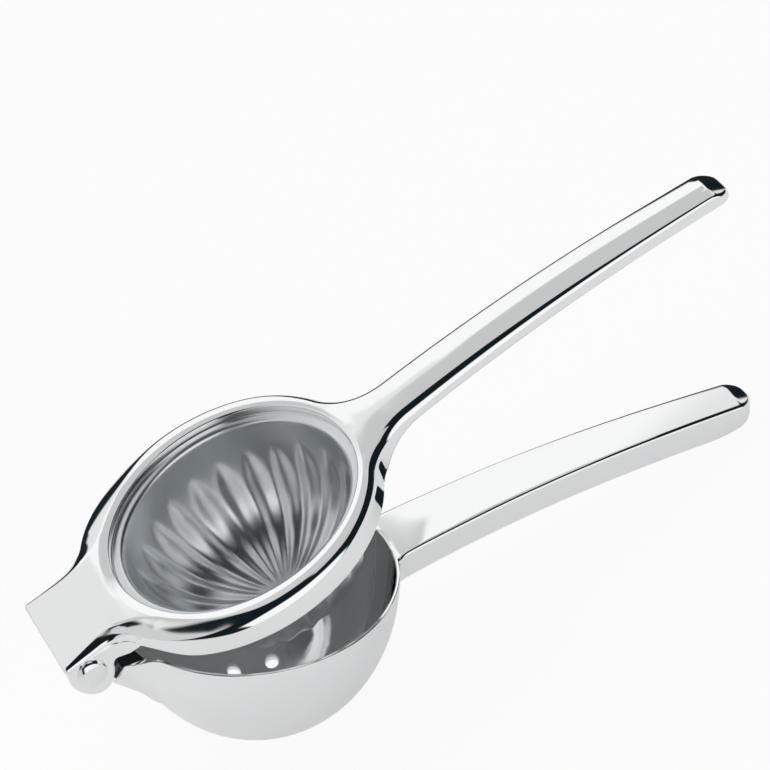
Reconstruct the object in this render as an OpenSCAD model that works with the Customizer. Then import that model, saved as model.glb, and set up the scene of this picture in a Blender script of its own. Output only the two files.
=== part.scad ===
// Hinged lemon squeezer. A bowl-ended lower arm and a ringed upper arm turn on one rivet
// at the short end; a ribbed press cup sits in the ring and closes into the bowl.
// Millimetres, +Z up, +X towards the handles. The squeezer lies on its bowl and on the tip
// of its lower handle, and the origin is the point where the bowl touches the table.

/* [Opening] */
// Angle between the two arms as the squeezer lies
open_angle = 20.15; // [12:0.05:24]

/* [Bowl] */
// Radius of the bowl outside, at its rim
bowl_r = 38.1; // [37.5:0.1:40]
// Depth of the bowl outside, below its rim
bowl_depth = 44.2; // [42:0.1:50]
// Wall of the bowl
bowl_wall = 2; // [1.2:0.1:2.4]
// Height of the rim above the middle of the rivet
rim_z = -0.5; // [-1.5:0.1:-0.4]
// Radius of the roundings on the rim
rim_round = 0.6; // [0.2:0.1:0.6]
// Number of drain holes
drain_count = 8; // [4:1:10]
// Diameter of a drain hole
drain_d = 3.8; // [2.5:0.1:5]
// Radius of the circle that the drain holes lie on
drain_circle_r = 14; // [11:0.5:18]
// Angle of the first drain hole, counted from the handle
drain_start = 15; // [0:1:45]

/* [Ring] */
// Outer radius of the ring
ring_r = 41.7; // [40.5:0.1:44]
// Distance from the rivet to the middle of the ring and of the bowl
ring_x = 50.9; // [49.5:0.1:55]
// Height of the ring
ring_h = 7.6; // [6.4:0.1:7.8]
// Top of the ring above the middle of the rivet
ring_top_z = 7.4; // [7.3:0.1:8.4]
// Width of the rounding on the outer edge of the ring
ring_round_w = 4.2; // [2:0.1:5]
// Height of the rounding on the outer edge of the ring
ring_round_h = 2.8; // [1.5:0.1:4]
// Radius of the opening in the ring
mouth_r = 35; // [34.6:0.1:35.6]
// How far the opening lies towards the handle from the middle of the ring
mouth_shift = 2.3; // [1.6:0.1:2.6]
// Depth of the seat for the cup below the top of the ring
seat_depth = 2.9; // [2:0.1:3.6]
// Width of the ledge that carries the cup
seat_ledge = 1.6; // [1:0.1:1.8]

/* [Press cup] */
// Thickness of the cup's sheet
cup_wall = 0.9; // [0.6:0.1:1.2]
// Gap between the cup's body and the ledge
cup_body_gap = 0.6; // [0.4:0.1:1]
// Gap around the cup's flange
cup_flange_gap = 0.03; // [0.02:0.01:0.2]
// Depth of the cup below its flange
cup_depth = 33.5; // [28:0.5:35]
// Squareness of the cup's side view, where 2 is an ellipse
cup_power = 2.5; // [2:0.1:2.8]
// Number of flutes
flute_count = 24; // [16:1:28]
// Depth of a flute
flute_depth = 1.1; // [0.5:0.1:1.6]
// Depth at which the flutes start below the flange
flute_top = 8; // [5:0.5:12]
// Radius of the plain disc in the middle of the cup's bottom
cup_disc_r = 4.8; // [4:0.2:7]

/* [Hinge] */
// Radius of the hollow half of the rivet
shank_r = 1.75; // [1.5:0.05:2.1]
// Radius of the solid half of the rivet, inside the hollow half
core_r = 1; // [0.8:0.05:1.1]
// Radius of the rivet's heads
head_r = 3.8; // [3:0.1:4.6]
// Height of the rivet's heads
head_h = 1.8; // [1.2:0.1:2.4]
// Gap around the rivet in the lower arm
knuckle_bore_gap = 0.06; // [0.03:0.01:0.1]
// Gap around the rivet in the ears
ear_bore_gap = 0.02; // [0.01:0.01:0.06]
// Radius of the lower arm's knuckle about the rivet
knuckle_r = 3.2; // [2.9:0.05:3.2]
// Half the width of the hinge plate, over the ears
plate_half_w = 15.65; // [14.5:0.05:17]
// Thickness of an ear
ear_t = 3.6; // [2.8:0.1:4]
// Radius of an ear about the rivet
ear_r = 6.2; // [5.6:0.1:6.6]
// Gap between an ear and the lower arm
ear_side_gap = 0.25; // [0.15:0.05:0.4]
// How far the plate reaches behind the rivet
plate_back = 5; // [4.5:0.1:5.6]
// Top of the plate's back edge above the middle of the rivet
plate_back_z = 5.25; // [5:0.05:5.6]
// Underside of the plate above the middle of the rivet
plate_under_z = 3.5; // [3.45:0.05:3.8]
// Radius of the hollow corner between the plate and the ring
plate_fillet = 13; // [8:0.5:18]
// Radius of the hollow corner between an ear and the ring
ear_fillet = 3; // [2:0.1:3.2]

/* [Upper handle] */
// Distance from the rivet to the tip of the upper handle
upper_tip_x = 207; // [190:1:220]
// Half the width of the upper handle at the ring
upper_root_half_w = 8.9; // [7.5:0.05:10]
// Half the width of the upper handle at its tip
upper_tip_half_w = 5.8; // [4.6:0.05:7]
// How far the tip's top lies above the top of the ring
upper_tip_rise = 2.15; // [0:0.05:4]
// How far the handle's top bows up between the ring and the tip
upper_bow = 3; // [0:0.05:5]
// Thickness of the upper handle along most of its length
upper_t = 4.8; // [4:0.1:6]
// Radius of the hollow corner between the ring and the upper handle
upper_fillet = 22; // [12:0.5:28]
// Radius of the corners at the tip
upper_corner_r = 4; // [2:0.1:4.5]
// Distance over which the handle thins from the ring's height
upper_thinning = 16; // [10:0.5:24]

/* [Lower handle] */
// Distance from the rivet to the tip of the lower handle
lower_tip_x = 198.5; // [185:0.5:212]
// Half the width of the lower handle at the bowl
lower_root_half_w = 9.75; // [8:0.05:11]
// Half the width of the lower handle at its tip
lower_tip_half_w = 6.05; // [5:0.05:7.5]
// How far the tip's top lies above the rim
lower_rise = 9.7; // [7:0.1:11]
// How early the lower handle rises, where 1 is a straight line
lower_rise_power = 2.4; // [1.4:0.1:3]
// Thickness of the lower handle at the bowl
lower_root_t = 8.2; // [6.5:0.1:9.5]
// Thickness of the lower handle at its tip
lower_tip_t = 9; // [7:0.1:10]
// Radius of the hollow corner between the bowl and the lower handle
lower_fillet = 5; // [3:0.5:12]
// Radius of the corners at the tip, seen from above
lower_corner_r = 5.2; // [3:0.1:5.8]

/* [Hidden] */
$fn = 96;
eps = 0.01;
curve_steps = 18;
arc_steps = 8;
past = 1;

// Bowl and its inside
bowl_in_r = bowl_r - bowl_wall;
bowl_in_depth = bowl_depth - bowl_wall;

// Ring, mouth and seat
ring_under_z = ring_top_z - ring_h;
ring_flat_r = ring_r - ring_round_w;
mouth_x = ring_x + mouth_shift;
seat_z = ring_top_z - seat_depth;
seat_r = mouth_r - seat_ledge;

// Press cup
cup_r = seat_r - cup_body_gap;
flange_r = mouth_r - cup_flange_gap;

// Hinge
ear_in = plate_half_w - ear_t;
neck_half_w = ear_in - ear_side_gap;
plate_front_x = ring_x - ring_flat_r + past;

// The handles start inside the ring and the bowl, and the openings trim them
upper_root_x = ring_x + ring_r;
lower_root_x = ring_x + bowl_r;
tip_r = lower_tip_t / 2;
tip_x = lower_tip_x - tip_r;
tip_z = rim_z + lower_rise - tip_r;

// How the squeezer lies: the lower arm tilts until bowl and handle tip touch the table.
// foot_h is the height of a tilted half ellipse's middle over its lowest point.
function foot_h(tilt) = norm([bowl_r * sin(tilt), bowl_depth * cos(tilt)]);
tip_dx = tip_x - ring_x;
tip_dz = tip_z - rim_z;
function settle(tilt, turns) = turns == 0 ? tilt
    : settle(atan2(tip_dz, tip_dx) + asin((foot_h(tilt) - tip_r) / norm([tip_dx, tip_dz])), turns - 1);
lie_tilt = settle(15, 12);
lie_h = foot_h(lie_tilt);
foot_x = sin(lie_tilt) * cos(lie_tilt) * (pow(bowl_r, 2) - pow(bowl_depth, 2)) / lie_h;

// Places what is drawn about the rivet where the squeezer lies
module lying() {
    translate([-foot_x, 0, lie_h])
        rotate([0, lie_tilt, 0])
            translate([-ring_x, 0, -rim_z])
                children();
}

// The same for what turns with the upper arm
module raised() {
    lying()
        rotate([0, -open_angle, 0])
            children();
}

// Points on an arc about c, from angle a0 to a1
function arc(c, r, a0, a1, steps = arc_steps) =
    [for (i = [0:steps]) c + r * [cos(a0 + (a1 - a0) * i / steps), sin(a0 + (a1 - a0) * i / steps)]];

// Middle of a hollow corner of radius f between the circle (c, r) and the line through p at angle a
function corner_middle(c, r, p, a, f) =
    let (along = [cos(a), sin(a)], out = [-sin(a), cos(a)], off = f - out * (c - p))
    c + out * off + along * sqrt(pow(r + f, 2) - pow(off, 2));

// One side of a handle in plan: hollow corner off the circle, tapering side, rounded tip corner
function handle_side(c, r, root_x, tip, root_w, tip_w, f, corner) =
    let (a = atan2(tip_w - root_w, tip - root_x),
         m = corner_middle(c, r, [root_x, root_w], a, f),
         k = [tip - corner, tip_w - corner * (1 + tan(a)) / cos(a) + corner * tan(a)])
    concat(arc(m, f, atan2(c.y - m.y, c.x - m.x) + 360, a + 270),
           arc(k, corner, a + 90, 0));

// A whole outline from its upper side, mirrored about the X axis
function mirrored(side) =
    concat(side, [for (i = [len(side) - 1:-1:0]) [side[i].x, -side[i].y]]);

// A flat outline in X and Z, given a width along Y about the middle
module across(outline, y0, y1) {
    translate([0, y1, 0])
        rotate([90, 0, 0])
            linear_extrude(y1 - y0)
                polygon(outline);
}

// A cylinder along Y about the rivet's axis
module on_rivet_axis(r, y0, y1) {
    translate([0, y1, 0])
        rotate([90, 0, 0])
            cylinder(h = y1 - y0, r = r);
}

// A quarter ellipse from the middle's height down to its axis, about the Z axis
function quarter_ellipse(r, depth, steps = 28) =
    [for (i = [0:steps]) [r * cos(90 * i / steps), -depth * sin(90 * i / steps)]];

module bowl_outside() {
    translate([ring_x, 0, rim_z])
        rotate_extrude()
            polygon(concat([[0, 0], [bowl_r - rim_round, 0]],
                           [for (i = [1:3]) [bowl_r - rim_round * (1 - sin(30 * i)), -rim_round * (1 - cos(30 * i))]],
                           [for (p = quarter_ellipse(bowl_r, bowl_depth)) if (p.y < -rim_round) p]));
}

module bowl_inside() {
    translate([ring_x, 0, rim_z])
        rotate_extrude()
            polygon(concat([[0, past], [bowl_in_r + rim_round / 2, past], [bowl_in_r + rim_round / 2, 0]],
                           [for (p = quarter_ellipse(bowl_in_r, bowl_in_depth)) if (p.y < -rim_round / 2) p]));
}

// Neck between the knuckle and the bowl, and its keel under the bowl's side
module neck() {
    front_x = ring_x - bowl_r;
    across([[0, knuckle_r], [1.2, knuckle_r - 0.25], [front_x * 0.4, knuckle_r * 0.4], [front_x * 0.7, rim_z],
            [front_x + bowl_wall, rim_z], [front_x + 8, rim_z - bowl_depth * 0.5],
            [front_x + 4, rim_z - bowl_depth * 0.43], [front_x, rim_z - bowl_depth * 0.32],
            [4, -knuckle_r * 2.15], [0, -knuckle_r]],
           -neck_half_w, neck_half_w);
    on_rivet_axis(knuckle_r, -neck_half_w, neck_half_w);
}

function lower_top_z(u) = rim_z + lower_rise * (1 - pow(1 - u, lower_rise_power));

module lower_handle() {
    run = tip_x - lower_root_x;
    top = [for (i = [0:curve_steps]) [lower_root_x + run * i / curve_steps, lower_top_z(i / curve_steps)]];
    under = [for (i = [curve_steps:-1:0]) let (u = i / curve_steps)
             [lower_root_x + run * u, lower_top_z(u) - lower_root_t - (lower_tip_t - lower_root_t) * u]];
    start_x = lower_root_x - 3 * bowl_wall;
    intersection() {
        across(concat([[start_x, rim_z]], top, arc([tip_x, tip_z], tip_r, 90, -90, 12), under,
                      [[start_x, rim_z - lower_root_t]]),
               -bowl_r, bowl_r);
        translate([0, 0, -bowl_depth])
            linear_extrude(2 * bowl_depth)
                polygon(mirrored(handle_side([ring_x, 0], bowl_r, lower_root_x, lower_tip_x, lower_root_half_w,
                                             lower_tip_half_w, lower_fillet, lower_corner_r)));
    }
}

module lower_arm() {
    color([0.86, 0.87, 0.88])
        lying()
            difference() {
                union() {
                    bowl_outside();
                    neck();
                    lower_handle();
                }
                bowl_inside();
                on_rivet_axis(shank_r + knuckle_bore_gap, -plate_half_w, plate_half_w);
                for (i = [0:drain_count - 1])
                    translate([ring_x, 0, rim_z - bowl_depth - past])
                        rotate([0, 0, drain_start + 360 * i / drain_count])
                            translate([drain_circle_r, 0, 0])
                                cylinder(h = bowl_depth, r = drain_d / 2, $fn = 32);
            }
}

// Round body of the ring, with its rounded outer edge
module ring_disc() {
    round_steps = 8;
    translate([ring_x, 0, 0])
        rotate_extrude()
            polygon(concat([[0, ring_top_z], [0, ring_under_z], [ring_r - 0.4, ring_under_z],
                            [ring_r, ring_under_z + 0.4]],
                           [for (i = [0:round_steps]) let (a = 90 * i / round_steps)
                            [ring_flat_r + ring_round_w * cos(a),
                             ring_top_z - ring_round_h * (1 - sin(a))]]));
}

// Hinge plate over the knuckle, with hollow corners towards the ring
module hinge_plate() {
    m = corner_middle([ring_x, 0], ring_flat_r, [0, plate_half_w], 180, -plate_fillet);
    side_m = [ring_x - sqrt(pow(ring_flat_r + plate_fillet, 2) - pow(plate_half_w + plate_fillet, 2)),
              plate_half_w + plate_fillet];
    a1 = atan2(-side_m.y, ring_x - side_m.x) + 360;
    intersection() {
        translate([0, 0, ring_under_z])
            linear_extrude(ring_h)
                polygon(mirrored(concat([[-plate_back, plate_half_w]], arc(side_m, plate_fillet, 270, a1),
                                        [[ring_x, plate_half_w]])));
        across([[-plate_back, plate_back_z], [-plate_back, plate_under_z], [plate_front_x + 2, plate_under_z],
                [plate_front_x + 2, ring_under_z], [ring_x, ring_under_z], [ring_x, ring_top_z],
                [plate_front_x, ring_top_z], [plate_front_x * 0.62, ring_top_z - 0.35],
                [plate_front_x * 0.2, ring_top_z - 1.15]],
               -ring_r, ring_r);
    }
}

// Ear at one side of the knuckle, from y0 to y1
module ear(y0, y1) {
    hollow = [sqrt(pow(ear_r + ear_fillet, 2) - pow(ring_under_z - ear_fillet, 2)), ring_under_z - ear_fillet];
    start = atan2(-hollow.y, -hollow.x);
    across(concat([[0, 0]], arc(hollow, ear_fillet, start, 90),
                  [[plate_front_x + 2, ring_under_z], [plate_front_x + 2, plate_under_z + eps],
                   [-plate_back, plate_under_z + eps], [-plate_back, 0]]),
           y0, y1);
    on_rivet_axis(ear_r, y0, y1);
}

function upper_top_z(u) = ring_top_z + upper_tip_rise * u + 4 * upper_bow * u * (1 - u);

module upper_handle() {
    run = upper_tip_x - upper_root_x;
    function under_z(u) = upper_top_z(u) - upper_t
        - (ring_h - upper_t) * pow(max(0, 1 - u * run / upper_thinning), 2);
    top = [for (i = [0:curve_steps]) [upper_root_x + run * i / curve_steps, upper_top_z(i / curve_steps)]];
    under = [for (i = [curve_steps * 2:-1:0]) let (u = i / curve_steps / 2) [upper_root_x + run * u, under_z(u)]];
    intersection() {
        across(concat([[ring_x, ring_top_z]], top, under, [[ring_x, ring_under_z]]), -ring_r, ring_r);
        translate([0, 0, -ring_h])
            linear_extrude(4 * ring_h)
                polygon(mirrored(handle_side([ring_x, 0], ring_flat_r, upper_root_x, upper_tip_x,
                                             upper_root_half_w, upper_tip_half_w, upper_fillet,
                                             upper_corner_r)));
    }
}

module upper_arm() {
    color([0.88, 0.88, 0.9])
        raised()
            difference() {
                union() {
                    ring_disc();
                    hinge_plate();
                    ear(ear_in, plate_half_w);
                    ear(-plate_half_w, -ear_in);
                    upper_handle();
                }
                translate([mouth_x, 0, seat_z])
                    cylinder(h = seat_depth + past, r = mouth_r);
                translate([mouth_x, 0, ring_under_z - past])
                    cylinder(h = ring_h, r = seat_r);
                on_rivet_axis(shank_r + ear_bore_gap, -plate_half_w - past, plate_half_w + past);
            }
}

// Radius of the cup's side at depth d for a cup of radius r and depth full
function cup_side_r(r, full, d) = r * pow(max(0, 1 - pow(d / full, cup_power)), 1 / cup_power);

// How strongly the flutes show at depth d and radius r: none at the flange and on the disc
function flute_strength(r, d) =
    min(1, max(0, (d - flute_top / 2) / flute_top)) * min(1, max(0, (r - cup_disc_r) / 6));

// Points of one level of the cup around its axis
function cup_level(r, z, d) =
    let (n = flute_count * 4)
    [for (i = [0:n - 1]) let (a = 360 * i / n, q = r - flute_depth * flute_strength(r, d) * (i % 4 == 0 ? 0
                              : i % 4 == 2 ? 1 : 0.5))
     [q * cos(a), q * sin(a), z]];

module press_cup() {
    n = flute_count * 4;
    levels = 13;
    in_r = cup_r - cup_wall;
    in_depth = cup_depth - cup_wall;
    // Depths are closer together towards the bottom, where the side turns in
    function level_d(full, i) = full * sin(90 * i / levels);
    outside = [for (i = [0:levels - 1]) let (d = level_d(cup_depth, i))
               cup_level(cup_side_r(cup_r, cup_depth, d), -d, d)];
    inside = [for (i = [levels - 1:-1:1]) let (d = level_d(in_depth, i))
              cup_level(cup_side_r(in_r, in_depth, d), -d, d)];
    rings = concat([for (i = [0:levels - 1]) outside[levels - 1 - i]],
                   [cup_level(flange_r, 0, 0), cup_level(flange_r, cup_wall, 0), cup_level(in_r, cup_wall, 0)],
                   [for (i = [levels - 2:-1:0]) inside[i]]);
    points = concat([for (ring = rings) each ring], [[0, 0, -cup_depth], [0, 0, -in_depth]]);
    last = (len(rings) - 1) * n;
    bottom = len(rings) * n;
    color([0.68, 0.7, 0.74])
        raised()
            translate([mouth_x, 0, seat_z])
                polyhedron(points = points,
                           faces = concat(
                               [for (k = [0:len(rings) - 2], i = [0:n - 1]) let (a = k * n + i, b = k * n + (i + 1) % n)
                                each [[a, a + n, b], [b, a + n, b + n]]],
                               [for (i = [0:n - 1]) [bottom, i, (i + 1) % n]],
                               [for (i = [0:n - 1]) [bottom + 1, last + (i + 1) % n, last + i]]));
}

// Low dome of a rivet's head, standing out along Y from the ear's face at y = 0
module rivet_head() {
    dome_steps = 8;
    rotate([-90, 0, 0])
        rotate_extrude()
            polygon(concat([[0, 0]], [for (i = [0:dome_steps]) let (a = 90 * i / dome_steps)
                                      [head_r * cos(a), head_h * sin(a)]]));
}

// Hollow half of the rivet: its head lies on the near ear
module rivet_sleeve() {
    color([0.9, 0.9, 0.91])
        raised()
            difference() {
                union() {
                    translate([0, -plate_half_w, 0])
                        mirror([0, 1, 0])
                            rivet_head();
                    on_rivet_axis(shank_r, -plate_half_w, plate_half_w);
                }
                on_rivet_axis(core_r, -plate_half_w + ear_t, plate_half_w + past);
            }
}

// Solid half of the rivet: its head lies on the far ear and its core fills the hollow half
module rivet_pin() {
    color([0.9, 0.9, 0.91])
        raised() {
            translate([0, plate_half_w, 0])
                rivet_head();
            on_rivet_axis(core_r, -plate_half_w + ear_t, plate_half_w);
        }
}

lower_arm();
upper_arm();
press_cup();
rivet_sleeve();
rivet_pin();
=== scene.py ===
"""Looks of the hinged lemon squeezer: two polished arms on a rivet, with a fluted press cup in the ring.

Each arm is worked out in millimetres about the middle of the rivet, with X along its handle and Z up, and
placed in metres as the squeezer lies on the table.
"""

import math

import bmesh
import bpy
import numpy as np
from mathutils import Matrix


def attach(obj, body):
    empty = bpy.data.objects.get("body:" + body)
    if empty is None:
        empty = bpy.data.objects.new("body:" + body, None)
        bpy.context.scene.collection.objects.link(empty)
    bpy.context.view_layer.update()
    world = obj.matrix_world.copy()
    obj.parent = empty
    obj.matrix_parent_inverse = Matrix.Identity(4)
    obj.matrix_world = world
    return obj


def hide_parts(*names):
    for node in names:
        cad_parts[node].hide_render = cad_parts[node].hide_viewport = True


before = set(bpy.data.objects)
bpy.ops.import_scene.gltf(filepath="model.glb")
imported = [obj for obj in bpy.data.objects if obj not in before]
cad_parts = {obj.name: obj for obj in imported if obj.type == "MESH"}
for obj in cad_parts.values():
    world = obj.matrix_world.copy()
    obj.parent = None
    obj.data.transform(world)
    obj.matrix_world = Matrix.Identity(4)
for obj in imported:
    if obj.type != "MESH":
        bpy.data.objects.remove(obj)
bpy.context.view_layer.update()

# Sizes in millimetres and angles in degrees
OPEN_ANGLE = 20.15

# Bowl
RING_X = 50.9
RIM_Z = -0.5
BOWL_R = 38.1
BOWL_DEPTH = 44.2
BOWL_WALL = 2.0
BOWL_IN_R = BOWL_R - BOWL_WALL
BOWL_IN_DEPTH = BOWL_DEPTH - BOWL_WALL
RIM_ROUND = 0.35
RIM_FLARE = 0.8
RIM_THIN = 0.9
NOTCH_Z = -4.6
NOTCH_ANGLE = 31
NOTCH_EASE = 15

# Drain holes, and the ring of the floor that they lie in
DRAIN_COUNT = 8
DRAIN_SECTOR = 360 / DRAIN_COUNT
DRAIN_R = 1.9
DRAIN_CIRCLE_R = 14.0
DRAIN_START = 15.0
DRAIN_LIP = 0.25
FLOOR_OUT_R = 22.0
FLOOR_IN_R = 6.0

# Ring
RING_R = 41.7
RING_TOP_Z = 7.4
RING_UNDER_Z = -0.2
MOUTH_X = 53.2
MOUTH_R = 35.0
MOUTH_EDGE = 0.4
SEAT_Z = 4.5
SEAT_R = 33.4
SEAT_EDGE = 0.3

# Cup
CUP_R = 32.8
CUP_WALL = 0.9
CUP_DEPTH = 33.5
CUP_POWER = 2.5
CUP_NECK_R = 1.5
FLANGE_R = 34.97
FLUTES = 24
FLUTE_DEPTH = 0.9
CUP_DISC_R = 4.8

# Hinge
PLATE_HALF_W = 15.65
PLATE_BACK = 5.9
PLATE_BACK_R = 1.2
PLATE_HOLLOW_R = 11.0
PLATE_UNDER_Z = 3.5
EAR_IN = 12.05
EAR_R = 6.2
EAR_HOLLOW_R = 3.0
EAR_EDGE = 0.9
NECK_HALF_W = 11.8
NECK_ROOT_HALF_W = 8
NECK_CLEAR_R = 10.6
KNUCKLE_R = 3.2
KNUCKLE_EDGE = 0.35
SHANK_R = 1.75
CORE_R = 1.0
CORE_CLEAR = 0.01
HEAD_R = 4.1
HEAD_H = 1.8

# Upper handle
UPPER_TIP_X = 207.0
UPPER_ROOT_W = 8.9
UPPER_TIP_W = 5.8
UPPER_TIP_R = 4.0
UPPER_HOLLOW_R = 18.0
UPPER_RISE = 2.15
UPPER_BOW = 3.0
UPPER_T = 4.8
UPPER_BEVEL = 4.8
UPPER_BEVEL_SLOPE = 0.5

# Lower handle
LOWER_TIP_X = 198.5
LOWER_ROOT_W = 9.75
LOWER_TIP_W = 6.05
LOWER_TIP_R = 5.2
LOWER_HOLLOW_R = 4.5
LOWER_RISE = 9.7
LOWER_POWER = 2.4
LOWER_ROOT_T = 8.2
LOWER_TIP_T = 9.0
LOWER_NOSE = 15.5
LOWER_NOSE_H = 6.0
LOWER_BEVEL = 4.2
LOWER_BEVEL_SLOPE = 0.12
# Points of the lower handle's outline: inside the wall, through it, the hollow corner, the side, the tip's
# corner and its end
LOWER_SPLIT = [14, 3, 16, 84, 22, 4]


# Placing

def resting():
    """How the squeezer lies with its bowl and the handle's rounded tip on the table.

    A half ellipse tilted by t has its rim's middle hypot(R*sin(t), D*cos(t)) above the table. The tilt puts
    the tip's middle its own radius above it too, and is found in a few rounds. Gives the tilt in degrees,
    the height of the rim's middle, and how far along X the lowest point lies from there.
    """
    tip_r = LOWER_TIP_T / 2
    dx = LOWER_TIP_X - tip_r - RING_X
    dz = LOWER_RISE - tip_r

    def height(t):
        return math.hypot(BOWL_R * math.sin(t), BOWL_DEPTH * math.cos(t))

    tilt = math.radians(15)
    for _ in range(12):
        tilt = math.atan2(dz, dx) + math.asin((height(tilt) - tip_r) / math.hypot(dx, dz))
    foot_x = math.sin(tilt) * math.cos(tilt) * (BOWL_R ** 2 - BOWL_DEPTH ** 2) / height(tilt)
    return math.degrees(tilt), height(tilt), foot_x


LIE_TILT, LIE_HEIGHT, FOOT_X = resting()


def turn(points, degrees):
    """Points turned about Y so that +X rises towards +Z by that many degrees."""
    c, s = math.cos(math.radians(degrees)), math.sin(math.radians(degrees))
    x, y, z = points[..., 0], points[..., 1], points[..., 2]
    return np.stack([x * c - z * s, y, x * s + z * c], -1)


def lower_place(points):
    """Millimetres about the rivet in the lower arm's frame, to metres as the squeezer lies."""
    moved = turn(points - [RING_X, 0, RIM_Z], -LIE_TILT)
    return (moved + [-FOOT_X, 0, LIE_HEIGHT]) / 1000


def upper_place(points):
    """Millimetres about the rivet in the upper arm's frame, to metres as the squeezer lies."""
    return lower_place(turn(points, OPEN_ANGLE))


# Small curves and soft joins

def smooth_line(x, knots_x, knots_y, blur):
    """A line through knots, averaged over a stretch of width blur so that it has no kinks."""
    shifts = np.linspace(-0.5, 0.5, 17) * blur
    return np.mean([np.interp(x + d, knots_x, knots_y) for d in shifts], 0)


def smooth_run(values, count):
    """Values in a row, each averaged with its neighbours over an odd count of them."""
    return np.convolve(np.pad(values, count // 2, "edge"), np.ones(count) / count, "valid")


def ease(t):
    """Zero below 0, one above 1, and level at both ends: t*t*(3 - 2*t)."""
    t = np.clip(t, 0, 1)
    return t * t * (3 - 2 * t)


def soft_max(a, b, k):
    """The greater of a and b, with a parabola of height k/4 where they cross."""
    h = np.maximum(k - np.abs(a - b), 0)
    return np.maximum(a, b) + h * h / (4 * k)


def round_join(a, b, r):
    """Distance to two joined shapes with a hollow corner of radius r between them."""
    return np.maximum(r, np.minimum(a, b)) - np.hypot(np.maximum(r - a, 0), np.maximum(r - b, 0))


def round_cut(a, b, r):
    """Distance to what two shapes share, with a corner of radius r."""
    return np.minimum(-r, np.maximum(a, b)) + np.hypot(np.maximum(a + r, 0), np.maximum(b + r, 0))


def quarter(n):
    """A quarter round in n points: how far in from the side and down from the top each is.

    Both are shares of the radius, 1 - sin(a) and 1 - cos(a).
    """
    return [(1 - math.sin(a), 1 - math.cos(a)) for a in np.radians(np.linspace(0, 90, n))]


def rays(degrees):
    """Unit vectors at angles in a plane."""
    a = np.radians(degrees)
    return np.stack([np.cos(a), np.sin(a)], -1)


def straight(p, q, n):
    """n points from p towards q, and the direction on their left."""
    p, q = np.array(p, float), np.array(q, float)
    t = np.linspace(0, 1, n, endpoint=False)[:, None]
    d = (q - p) / np.linalg.norm(q - p)
    return p + (q - p) * t, np.tile([-d[1], d[0]], (n, 1))


def bend(c, r, a0, a1, n):
    """n points on the arc about c from a0 towards a1 degrees, and the direction on their left."""
    ray = rays(np.linspace(a0, a1, n, endpoint=False))
    return np.array(c) + r * ray, ray * (1 if a1 < a0 else -1)


def angle_of(v):
    """Direction of a plane vector in degrees."""
    return math.degrees(math.atan2(v[1], v[0]))


def hollow_middle(c, r, p, a, f):
    """Middle of a hollow corner of radius f between the circle (c, r) and the line through p at angle a."""
    c, p = np.array(c, float), np.array(p, float)
    along = np.array([math.cos(a), math.sin(a)])
    out = np.array([-math.sin(a), math.cos(a)])
    off = f - out @ (c - p)
    return c + out * off + along * np.sqrt((r + f) ** 2 - off ** 2)


def outward(outline, centre):
    """Unit vectors from a centre to the points of an outline."""
    step = outline - centre
    return step / np.linalg.norm(step, axis=1)[:, None]


def row_xz(p, y):
    """A row of points from plane points (x, z) and their y."""
    return np.column_stack([p[:, 0], np.broadcast_to(y, len(p)), p[:, 1]])


def raised(p, z):
    """A row of points from plan points (x, y) and their z."""
    return np.column_stack([p, np.broadcast_to(z, len(p))])


def steps(p, q, shares):
    """Points between p and q, at shares of the way."""
    return [p + (q - p) * t for t in shares]


def tip_corner(tip_x, tip_w, r, a):
    """Middle of the rounded corner of radius r between a handle's side, at angle a, and its end."""
    return np.array([tip_x - r, tip_w - r * math.tan(a) - r / math.cos(a)])


# Meshes

def put(name, data):
    """An object of that name in the scene, with its mesh, camera or lamp."""
    item = bpy.data.objects.new(name, data)
    bpy.context.scene.collection.objects.link(item)
    return item


def mesh_piece(name, grids, place, material):
    """One closed mesh from grids of points, welded along their shared edges."""
    points = []
    quads = []
    start = 0
    for grid in grids:
        n, m = grid.shape[:2]
        k = start + np.arange(n * m).reshape(n, m)
        quads.append(np.stack([k[:-1, :-1], k[1:, :-1], k[1:, 1:], k[:-1, 1:]], -1).reshape(-1, 4))
        points.append(grid.reshape(-1, 3))
        start += n * m
    mesh = bpy.data.meshes.new(name)
    mesh.from_pydata(place(np.concatenate(points)), [], np.concatenate(quads).tolist())
    work = bmesh.new()
    work.from_mesh(mesh)
    bmesh.ops.remove_doubles(work, verts=work.verts, dist=2e-6)
    bmesh.ops.dissolve_degenerate(work, edges=work.edges, dist=1e-7)
    bmesh.ops.recalc_face_normals(work, faces=work.faces)
    work.to_mesh(mesh)
    work.free()
    set_normals(mesh)
    mesh.materials.append(material)
    return put(name, mesh)


def set_normals(mesh):
    """Smooth corners with the mean normal of their faces, weighted by area.

    Flats stay flat beside rounded edges.
    """
    def read(items, key, kind, width=1):
        values = np.zeros(len(items) * width, kind)
        items.foreach_get(key, values)
        return values.reshape(-1, width)

    mesh.polygons.foreach_set("use_smooth", np.ones(len(mesh.polygons), bool))
    share = read(mesh.polygons, "normal", np.float32, 3) * read(mesh.polygons, "area", np.float32)
    share = np.repeat(share, read(mesh.polygons, "loop_total", np.int32)[:, 0], axis=0)
    total = np.zeros((len(mesh.vertices), 3))
    np.add.at(total, read(mesh.loops, "vertex_index", np.int32)[:, 0], share)
    total /= np.maximum(np.linalg.norm(total, axis=1), 1e-20)[:, None]
    mesh.normals_split_custom_set_from_vertices(total.tolist())


def both_sides(grid):
    """A grid and its mirror image across the middle plane."""
    return [grid, grid * [1, -1, 1]]


# Upper arm

def plate_hollow_middle():
    """Middle of the hollow corner between the plate's side and the ring, in plan."""
    y = PLATE_HALF_W + PLATE_HOLLOW_R
    return np.array([RING_X - math.sqrt((RING_R + PLATE_HOLLOW_R) ** 2 - y ** 2), y])


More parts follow.
